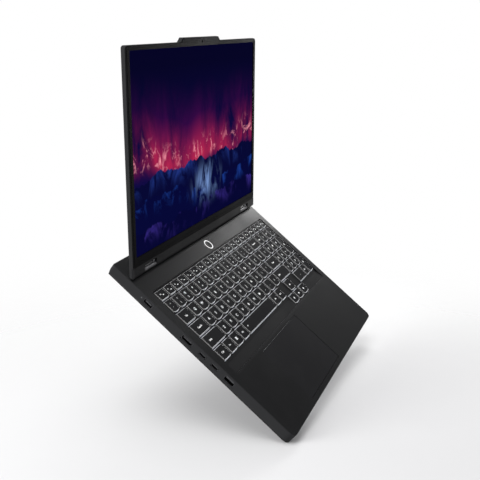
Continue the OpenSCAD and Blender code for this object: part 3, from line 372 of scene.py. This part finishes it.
def screen_picture():
    """Lit display: a glowing magenta veil in a navy sky, over three layers of blue dunes."""
    made, tree, shader = start_material("lit_display", 0.3, 0.0, 0.0)
    panel_low, panel_high = (Vector(c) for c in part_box("display_panel"))
    foot, top = 20 * MM, (panel_high - hinge_point).dot(lid_up)
    # Place on the screen: 0 to 1 from its left to its right, and 0 to 1 from its foot to its top
    across = mapped(tree, along(tree, (1, 0, 0)), panel_low.x, panel_high.x)
    up = mapped(tree, along(tree, lid_up, hinge_point), foot, top)
    plane = add_node(tree, "ShaderNodeCombineXYZ")
    wire(tree, across, plane.inputs["X"])
    wire(tree, up, plane.inputs["Y"])

    def soft_noise(scale, stretch, detail, shift=0.0, distortion=0.0):
        """Noise on the screen's plane, drawn out upwards where stretch is small."""
        sized = add_node(tree, "ShaderNodeVectorMath", operation="MULTIPLY_ADD")
        wire(tree, plane.outputs[0], sized.inputs[0])
        sized.inputs[1].default_value = (SCREEN_SHAPE, stretch, 1.0)
        sized.inputs[2].default_value = (shift, shift, 0.0)
        made_noise = add_node(tree, "ShaderNodeTexNoise", Scale=scale, Detail=detail, Roughness=0.62)
        made_noise.inputs["Distortion"].default_value = distortion
        wire(tree, sized.outputs[0], made_noise.inputs["Vector"])
        return made_noise.outputs["Fac"]

    drift = soft_noise(1.7, 0.35, 2.0, 3.1)
    height = math_node(tree, "ADD", up, math_node(tree, "MULTIPLY_ADD", drift, -0.34, 0.17))
    # Sky: navy that darkens upwards
    picture = mixed(tree, mapped(tree, up, 0.25, 0.9), (0.0045, 0.002, 0.058), (0.0006, 0.0004, 0.017))
    # Glowing veil, torn into upright curtains that thin out upwards
    rise = mapped(tree, height, 0.3, 0.42, smooth=True)
    fall = mapped(tree, height, 0.42, 0.86, 1.0, 0.0, smooth=True)
    curtains = mapped(tree, soft_noise(4.4, 0.3, 6.0, 7.7, 0.5), 0.36, 0.62)
    veil = math_node(tree, "MULTIPLY", math_node(tree, "MULTIPLY", rise, fall), curtains)
    heat = mixed(tree, mapped(tree, height, 0.4, 0.66, 1.0, 0.0), (0.07, 0.002, 0.075), (0.46, 0.018, 0.075))
    picture = mixed(tree, veil, picture, heat)
    # Bright embers in its foot
    core = math_node(tree, "MULTIPLY", mapped(tree, height, 0.33, 0.43, smooth=True),
                     mapped(tree, height, 0.43, 0.56, 1.0, 0.0, smooth=True))
    embers = mapped(tree, soft_noise(13.0, 0.7, 8.0, 2.2, 1.4), 0.55, 0.7)
    picture = mixed(tree, math_node(tree, "MULTIPLY", core, embers), picture, (1.0, 0.34, 0.42))
    # Three layered dunes with lit, streaky crests
    for level, shift, crest, body in (
        (0.36, 11.0, (0.018, 0.045, 0.27), (0.0009, 0.0014, 0.032)),
        (0.25, 17.0, (0.015, 0.075, 0.46), (0.0007, 0.0014, 0.036)),
        (0.12, 23.0, (0.05, 0.03, 0.3), (0.0008, 0.001, 0.03)),
    ):
        line = math_node(tree, "MULTIPLY_ADD", soft_noise(2.2, 0.02, 5.0, shift), 0.3, level - 0.15)
        below = math_node(tree, "SUBTRACT", line, up)
        inside = mapped(tree, below, 0.0, 0.006)
        lit = mapped(tree, below, 0.0, 0.12, 1.0, 0.0, smooth=True)
        streaks = mapped(tree, soft_noise(7.0, 0.6, 6.0, shift, 0.8), 0.48, 0.74)
        tone = mixed(tree, math_node(tree, "MULTIPLY", lit, streaks), body, crest)
        picture = mixed(tree, inside, picture, tone)
    # Pale blue shimmer in the middle of the lower half
    from_middle = distance_from(tree, plane.outputs[0], (0.54, 0.22, 0.0))
    glow = mapped(tree, from_middle, 0.0, 0.2, 1.0, 0.0, smooth=True)
    glow = math_node(tree, "MULTIPLY", glow, glow)
    glints = mapped(tree, soft_noise(8.0, 0.5, 6.0, 5.0, 0.9), 0.46, 0.68)
    picture = mixed(tree, math_node(tree, "MULTIPLY", glow, glints), picture, (0.3, 0.5, 1.0))
    wire(tree, picture, shader.inputs["Emission Color"])
    shader.inputs["Emission Strength"].default_value = 1.0
    shader.inputs["Base Color"].default_value = (0.003, 0.003, 0.004, 1.0)
    wire(tree, mapped(tree, soft_noise(3.0, 1.0, 3.0), 0.3, 0.7, 0.26, 0.34), shader.inputs["Roughness"])
    return made


finish = {
    "shell": satin_paint_and_painted_light("graphite_paint"),
    "base_shell": graphite_paint_with_charge_light(),
    "bottom_shell": grained("bottom_plastic", (0.016, 0.016, 0.017), (0.011, 0.011, 0.012), 0.58, 0.2,
                            grain=2200.0, depth=0.00004),
    "rubber": grained("foot_rubber", (0.012, 0.012, 0.012), (0.008, 0.008, 0.008), 0.78, 0.15,
                      grain=1800.0, depth=0.00006),
    "screw_steel": drawn_metal("black_screw_steel", (0.12, 0.12, 0.125), (0.07, 0.07, 0.075), 0.36),
    "grille_plastic": grained("grille_plastic", (0.012, 0.012, 0.013), (0.008, 0.008, 0.009), 0.5, 0.2),
    "frame_plastic": grained("key_frame_plastic", (0.012, 0.012, 0.013), (0.008, 0.008, 0.009), 0.55, 0.03),
    "steel": drawn_metal("rolled_steel", (0.55, 0.56, 0.58), (0.4, 0.41, 0.43), 0.34),
    "hinge_metal": drawn_metal("satin_hinge_metal", (0.09, 0.09, 0.095), (0.05, 0.05, 0.055), 0.4),
    "light_film": lit_film("lit_film", (0.85, 0.9, 1.0), 0.6),
    "dome_rubber": grained("dome_rubber", (0.6, 0.6, 0.62), (0.48, 0.48, 0.5), 0.5, 0.3),
    "ring_diffuser": power_ring_diffuser(),
    "board": grained("board_lacquer", (0.012, 0.06, 0.045), (0.008, 0.04, 0.032), 0.38, 0.5,
                     grain=900.0, depth=0.00005),
    "chip": grained("moulded_chip", (0.05, 0.05, 0.055), (0.035, 0.035, 0.04), 0.32, 0.5),
    "copper": drawn_metal("bare_copper", (0.76, 0.4, 0.26), (0.58, 0.27, 0.16), 0.3),
    "fin_aluminium": drawn_metal("fin_aluminium", (0.7, 0.71, 0.73), (0.56, 0.57, 0.59), 0.34),
    "fan_plastic": grained("fan_plastic", (0.018, 0.018, 0.02), (0.012, 0.012, 0.013), 0.45, 0.35),
    "battery_case": grained("battery_film", (0.016, 0.016, 0.018), (0.011, 0.011, 0.012), 0.4, grain=700.0),
    "speaker_case": grained("speaker_plastic", (0.015, 0.015, 0.016), (0.01, 0.01, 0.011), 0.55, 0.25),
    "port_metal": drawn_metal("dark_nickel", (0.1, 0.1, 0.105), (0.06, 0.06, 0.065), 0.4),
    "port_plastic": grained("socket_plastic", (0.014, 0.014, 0.015), (0.01, 0.01, 0.011), 0.5, 0.25),
    "touchpad_glass": grained("etched_touchpad", (0.0165, 0.0165, 0.018), (0.0125, 0.0125, 0.014), 0.38, 0.02,
                              grain=6000.0, depth=0.000008, spread=0.03),
    "button": grained("button_plastic", (0.014, 0.014, 0.0155), (0.01, 0.01, 0.011), 0.42, 0.03),
    "bezel_plastic": grained("bezel_plastic", (0.005, 0.005, 0.0055), (0.0035, 0.0035, 0.004), 0.5, 0.02,
                             grain=2600.0, depth=0.00003),
    "strip_plastic": grained("hinge_strip_plastic", (0.014, 0.014, 0.015), (0.011, 0.011, 0.012), 0.42, 0.05),
    "screen": screen_picture(),
    "lens": grained("lens_glass", (0.006, 0.006, 0.008), (0.004, 0.004, 0.005), 0.12, 0.5,
                    grain=400.0, depth=0.000004, spread=0.02),
    "keycap": keycap_plastic(),
}

# Each node gets the finish of its slot
slot_of = {row["node"]: row["material_slot"] for row in frame["record"]["subparts"]}
for name, piece in nodes.items():
    chosen = finish["base_shell"] if name == "top_cover" else finish[slot_of[name]]
    if not piece.material_slots:
        piece.data.materials.append(chosen)
    for holder in piece.material_slots:
        holder.material = chosen

# ---------------------------------------------------------------- key legends

legend_finish = glowing("legend_light", (0.86, 0.88, 0.9), (1.0, 1.0, 1.0), 0.68, 0.5, 2500.0, 14.0)
rim_finish = lit_film("cap_rim_light", (0.97, 0.98, 1.0), 0.62)
# Width of the lit rim along the front, the sides and the rear of a cap's top
RIM_FRONT = 0.26 * MM
RIM_SIDE = 0.12 * MM
RIM_REAR = 0.07 * MM
# Legends of the caps in each node, from its rear left cap to its front right one
ROWS = {
    "escape_key": ["Esc"],
    "function_keys": ["F%d" % k for k in range(1, 13)] + "Ins Prt Del Home End PgU PgD".split(),
    "digit_keys": [a + " " + b for a, b in zip("`1234567890-=", "~!@#$%^&*()_+")],
    "backspace_key": ["Backspace"],
    "tab_key": ["Tab"],
    "upper_letter_keys": list("QWERTYUIOP[]\\"),
    "caps_lock_key": ["CapsLk"],
    "home_letter_keys": list("ASDFGHJKL;'"),
    "enter_key": ["Enter"],
    "left_shift_key": ["Shift"],
    "lower_letter_keys": list("ZXCVBNM,./"),
    "right_shift_key": ["Shift"],
    "left_control_key": ["Ctrl"],
    "modifier_keys": ["Fn", "menu", "Alt", "Alt", "Ctrl"],
    "space_key": ["*"],
    "up_arrow_key": ["^"],
    "left_arrow_key": ["<"],
    "down_arrow_key": ["v"],
    "right_arrow_key": [">"],
    "number_pad_keys": ["Num", *"/*-789456+1230.", "Ent"],
}
# Heights of single letters, words, the two marks of a digit key, function key names and long words
LETTER_H = 4.6 * MM
WORD_H = 3.0 * MM
MARK_H = 3.3 * MM
SMALL_H = 2.0 * MM
LONG_WORD_H = 2.5 * MM
# A word with more letters than this is long
LONG_WORD = 6
# Caps wider than this are wider than a letter key, and only function keys are shorter than this
LETTER_KEY_W = 16.2 * MM
SHORT_KEY_D = 12.5 * MM
# How far in from the left side Shift and the space bar's mark stand
SIDE_IN = 7 * MM
# How far legends and rims lie above the caps
LIFT = 0.03 * MM
# Depth of a cap's dish, and the width from which caps are flat
DISH = 0.22 * MM
DISHED_BELOW = 20 * MM


def rounded(place):
    """Coordinates that are equal for vertices at one place."""
    return tuple(round(c, 6) for c in place)


def rectangle(middle_x, middle_y, half_w, half_h):
    corners = ((-1, -1), (1, -1), (1, 1), (-1, 1))
    return [Vector((middle_x + right * half_w, middle_y + rear * half_h, 0)) for right, rear in corners]


def separate_caps(piece):
    """Boxes of the loose caps in one node, row by row from the back and left to right."""
    mesh = piece.data
    parent = list(range(len(mesh.vertices)))

    def root(i):
        while parent[i] != i:
            parent[i] = parent[parent[i]]
            i = parent[i]
        return i

    at_place = {}
    for vertex in mesh.vertices:
        parent[root(vertex.index)] = root(at_place.setdefault(rounded(vertex.co), vertex.index))
    for edge in mesh.edges:
        parent[root(edge.vertices[0])] = root(edge.vertices[1])
    caps = {}
    for vertex in mesh.vertices:
        caps.setdefault(root(vertex.index), []).append(vertex.co)
    boxes = [(Vector((min(c.x for c in cap), min(c.y for c in cap), 0)),
              Vector((max(c.x for c in cap), max(c.y for c in cap), 0))) for cap in caps.values()]
    row_height = 9 * MM
    return sorted(boxes, key=lambda b: (-round(b[1].y / row_height), b[0].x))


def glyph_mesh(text, height, align):
    """Outline letters as a flat mesh, with their own left, centre or right edge at the origin."""
    curve = bpy.data.curves.new("glyph", "FONT")
    curve.body = text
    curve.size = height
    curve.align_x = align
    curve.align_y = "CENTER"
    curve.resolution_u = 3
    # A little bolder than the plain outline
    curve.offset = height * 0.012
    holder = bpy.data.objects.new("glyph", curve)
    bpy.context.scene.collection.objects.link(holder)
    bpy.context.view_layer.update()
    mesh = bpy.data.meshes.new_from_object(holder.evaluated_get(bpy.context.evaluated_depsgraph_get()))
    points = [v.co.copy() for v in mesh.vertices]
    faces = [tuple(f.vertices) for f in mesh.polygons]
    bpy.data.objects.remove(holder)
    bpy.data.curves.remove(curve)
    bpy.data.meshes.remove(mesh)
    return points, faces


def arrow_shape(direction):
    """Small triangle that points the way of an arrow key."""
    turn = {"^": 0, "<": 90, "v": 180, ">": 270}[direction]
    size = 1.7 * MM
    turned = Matrix.Rotation(radians(turn), 3, "Z")
    foot, tip = -size * 0.6, size * 0.8
    return [turned @ Vector(p) for p in ((-size, foot, 0), (size, foot, 0), (0, tip, 0))], [(0, 1, 2)]


def menu_bars():
    """Three short bars one above the other, for the menu key beside Fn."""
    half_w, half_h, step = 1.7 * MM, 0.4 * MM, 1.35 * MM
    points = [point for k in (-1, 0, 1) for point in rectangle(0, k * step, half_w, half_h)]
    return points, [(0, 1, 2, 3), (4, 5, 6, 7), (8, 9, 10, 11)]


def legend_parts(text, low, high):
    """Shapes and places of one cap's legend."""
    width = high.x - low.x
    middle = (low + high) / 2
    if text == "menu":
        return [(menu_bars(), middle)]
    if text in ("^", "<", "v", ">") and width > LETTER_KEY_W:
        return [(arrow_shape(text), middle)]
    if text == "*" and width > LETTER_KEY_W:
        return [(glyph_mesh(text, LETTER_H, "CENTER"), Vector((low.x + SIDE_IN, middle.y, 0)))]
    if " " in text:
        lower, upper = text.split(" ")
        step = Vector((0, 3 * MM, 0))
        return [(glyph_mesh(lower, MARK_H, "CENTER"), middle - step),
                (glyph_mesh(upper, MARK_H, "CENTER"), middle + step)]
    if len(text) == 1:
        return [(glyph_mesh(text, LETTER_H, "CENTER"), middle)]
    if len(text) > LONG_WORD:
        return [(glyph_mesh(text, LONG_WORD_H, "CENTER"), middle)]
    if text == "Shift":
        return [(glyph_mesh(text, WORD_H, "LEFT"), Vector((low.x + SIDE_IN, middle.y, 0)))]
    if high.y - low.y < SHORT_KEY_D:
        # Function keys: a small name at the left rear and a short bar for the second duty at the right front
        corner = Vector((1.9 * MM, 0.9 * MM, 0))
        bar = (rectangle(0, 0, 1.1 * MM, 0.4 * MM), [(0, 1, 2, 3)])
        return [(glyph_mesh(text, SMALL_H, "CENTER"), middle + Vector((-corner.x, corner.y, 0))),
                (bar, middle + Vector((corner.x, -corner.y, 0)))]
    return [(glyph_mesh(text, WORD_H, "CENTER"), middle)]


def dish_depth(offset, width):
    """How far a cap's dished top lies below its edges."""
    if width >= DISHED_BELOW:
        return 0.0
    radius = (width * width / 4 + DISH * DISH) / (2 * DISH)
    return sqrt(radius * radius - offset * offset) - (radius - DISH)


def add_trim(name, parent_name, points, faces, material):
    """Flat trim that lies on a key node and moves with it."""
    mesh = bpy.data.meshes.new(name)
    mesh.from_pydata(points, [], faces)
    mesh.validate()
    mesh.materials.append(material)
    trim = bpy.data.objects.new(name, mesh)
    bpy.context.scene.collection.objects.link(trim)
    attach(trim, nodes[parent_name]["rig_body"])


def top_loops(piece):
    """Outlines of the caps' tops in one node: closed runs of points, against the clock."""
    mesh = piece.data
    # Tops are never further than this below the deck
    lowest_top = deck_z - 0.4 * MM
    ends = {}
    for face in mesh.polygons:
        if face.normal.z < FLATNESS or min(mesh.vertices[i].co.z for i in face.vertices) < lowest_top:
            continue
        corners = [rounded(mesh.vertices[i].co) for i in face.vertices]
        for first, second in zip(corners, corners[1:] + corners[:1]):
            if (second, first) in ends:
                del ends[(second, first)]
            else:
                ends[(first, second)] = True
    follow = {first: second for first, second in ends}
    # Edges met only once are the outline. Each is followed to the next until the run closes
    loops = []
    while follow:
        start, place = follow.popitem()
        run = [start]
        while place != start and place in follow:
            run.append(place)
            place = follow.pop(place)
        if place == start and len(run) > 3:
            loops.append([Vector(p) for p in run])
    return loops


def inset_loop(loop):
    """The same run of points, moved inwards: most along the front, least along the rear."""
    moved = []
    shortest_edge, shortest_sum = 1e-7, 1e-6
    for before, here, after in zip(loop[-1:] + loop[:-1], loop, loop[1:] + loop[:1]):
        inward = Vector((0, 0, 0))
        for a, b in ((before, here), (here, after)):
            run = Vector((b.x - a.x, b.y - a.y, 0))
            if run.length > shortest_edge:
                inward += Vector((-run.y, run.x, 0)).normalized()
        if inward.length > shortest_sum:
            inward.normalize()
        front_or_rear = RIM_FRONT if inward.y > 0 else RIM_REAR
        moved.append(here + Vector((inward.x * RIM_SIDE, inward.y * front_or_rear, 0)))
    return moved


# Lit rims round the tops of the caps
for name in ROWS:
    points, faces = [], []
    for loop in top_loops(nodes[name]):
        count = len(loop)
        first = len(points)
        for point in loop + inset_loop(loop):
            points.append((point.x, point.y, point.z + LIFT))
        for k in range(count):
            after = (k + 1) % count
            faces.append((first + k, first + after, first + count + after, first + count + k))
    add_trim(name + "_rims", name, points, faces, rim_finish)

# Lit legends, bent to the dishes of their caps
for name, texts in ROWS.items():
    caps = separate_caps(nodes[name])
    points, faces = [], []
    for text, (low, high) in zip(texts, caps):
        for (shape_points, shape_faces), place in legend_parts(text, low, high):
            first = len(points)
            for point in shape_points:
                x = place.x + point.x
                drop = dish_depth(x - (low.x + high.x) / 2, high.x - low.x)
                points.append((x, place.y + point.y, deck_z - drop + LIFT))
            faces += [tuple(first + i for i in face) for face in shape_faces]
    add_trim(name + "_legends", name, points, faces, legend_finish)

# ---------------------------------------------------------------- camera, lamps and floor

camera_place = Vector((-787.53, -93.40, 449.23)) * MM
look = Vector((0.88709, 0.10666, -0.44911)).normalized()
side = Vector((0.37660, -0.72985, 0.57053)).normalized()
upward = side.cross(look).normalized()
SENSOR_MM, LENS_MM = 36, 54.55
camera_data = bpy.data.cameras.new("studio_camera")
camera_data.sensor_width = SENSOR_MM
camera_data.lens = LENS_MM
camera_data.clip_start = 0.01
camera = bpy.data.objects.new("studio_camera", camera_data)
camera.matrix_world = Matrix.Translation(camera_place) @ Matrix((side, upward, -look)).transposed().to_4x4()
bpy.context.scene.collection.objects.link(camera)
bpy.context.scene.camera = camera

# The laptop stands on its front left corner, on a floor seen a little from above
FLOOR_TILT = radians(12)
floor_up = (cos(FLOOR_TILT) * upward - sin(FLOOR_TILT) * look).normalized()
floor_front = floor_up.cross(side).normalized()
corner_points = [piece.matrix_world @ v.co for piece in (nodes["top_cover"], nodes["bottom_cover"])
                 for v in piece.data.vertices]
lowest = min(corner_points, key=lambda p: p.dot(floor_up))

# Within the near distance the floor shows its shade; beyond the far one only the backdrop is seen
FLOOR_NEAR, FLOOR_FAR = 0.12, 0.75
FLOOR_SEE_THROUGH = 0.08


def stage_material():
    """Matt white floor that takes the shade, fades into the backdrop and isn't seen from below."""
    made = bpy.data.materials.new("pale_floor")
    made.use_nodes = True
    tree = made.node_tree
    tree.nodes.clear()
    output = tree.nodes.new("ShaderNodeOutputMaterial")
    paint = add_node(tree, "ShaderNodeBsdfDiffuse")
    skin = use_group(tree, grain_group, Grain_per_metre=60.0, Patches_per_metre=3.0)
    tone = mixed(tree, skin.outputs["Patches"], (0.88, 0.88, 0.88), (0.9, 0.9, 0.9))
    wire(tree, tone, paint.inputs["Color"])
    clear = tree.nodes.new("ShaderNodeBsdfTransparent")
    away = distance_from(tree, surface_point(tree), (0.0, 0.0, 0.0))
    see_through = mapped(tree, away, FLOOR_NEAR, FLOOR_FAR, FLOOR_SEE_THROUGH, 1.0, smooth=True)
    back = add_node(tree, "ShaderNodeNewGeometry").outputs["Backfacing"]
    gone = math_node(tree, "MAXIMUM", see_through, back)
    blend = tree.nodes.new("ShaderNodeMixShader")
    wire(tree, gone, blend.inputs[0])
    wire(tree, paint.outputs[0], blend.inputs[1])
    wire(tree, clear.outputs[0], blend.inputs[2])
    wire(tree, blend.outputs[0], output.inputs["Surface"])
    return made


floor_mesh = bpy.data.meshes.new("floor")
REACH = 1.2
floor_mesh.from_pydata(rectangle(0, 0, REACH, REACH), [], [(0, 1, 2, 3)])
floor_mesh.materials.append(stage_material())
floor = bpy.data.objects.new("floor", floor_mesh)
floor_axes = Matrix((side, -floor_front, floor_up)).transposed().to_4x4()
floor.matrix_world = Matrix.Translation(lowest) @ floor_axes
bpy.context.scene.collection.objects.link(floor)


LAPTOP_MIDDLE = Vector((0, 0, 0.08))


def softbox(name, direction, distance, size, power, target=LAPTOP_MIDDLE):
    """Round area lamp, size metres wide and of power watts, that isn't seen itself."""
    data = bpy.data.lights.new(name, "AREA")
    data.shape = "DISK"
    data.size = size
    data.energy = power
    lamp = bpy.data.objects.new(name, data)
    place = target + direction.normalized() * distance
    lamp.location = place
    lamp.rotation_euler = (target - place).to_track_quat("-Z", "Y").to_euler()
    bpy.context.scene.collection.objects.link(lamp)
    lamp.visible_camera = False


softbox("overhead_softbox", floor_up + 0.25 * -look - 0.2 * side, 1.6, 1.4, 12)
softbox("side_softbox", -side - 0.5 * look + 0.1 * floor_up, 1.7, 1.0, 27)
softbox("back_softbox", look + 0.7 * floor_up + 0.5 * side, 1.8, 1.0, 3)
# Small and near, so that the deck shines at its right rear and stays dark at its left
softbox("deck_softbox", Vector((0.95, 0.16, 0.27)), 0.5, 0.2, 1.5, Vector((0.12, 0.05, deck_z)))

world = bpy.data.worlds.new("studio_world")
bpy.context.scene.world = world
world.use_nodes = True
tree = world.node_tree
shown = tree.nodes["Background"]
shown.inputs["Strength"].default_value = 1.0
path = tree.nodes.new("ShaderNodeLightPath")
# White backdrop that greys a little below the floor line
heading = add_node(tree, "ShaderNodeVectorMath", operation="DOT_PRODUCT")
wire(tree, tree.nodes.new("ShaderNodeTexCoord").outputs["Generated"], heading.inputs[0])
heading.inputs[1].default_value = floor_up
backdrop = mixed(tree, mapped(tree, heading.outputs["Value"], -0.5, -0.22, smooth=True),
                 (0.87, 0.87, 0.875), (1.0, 1.0, 1.0))
seen = math_node(tree, "MAXIMUM", path.outputs["Is Camera Ray"], path.outputs["Is Transmission Ray"])
seen = math_node(tree, "MAXIMUM", seen, path.outputs["Is Glossy Ray"])
# Matt surfaces are lit by a softer grey than the backdrop
wire(tree, mixed(tree, seen, (0.36, 0.36, 0.37), backdrop), shown.inputs["Color"])

bpy.context.scene.view_settings.view_transform = "Standard"
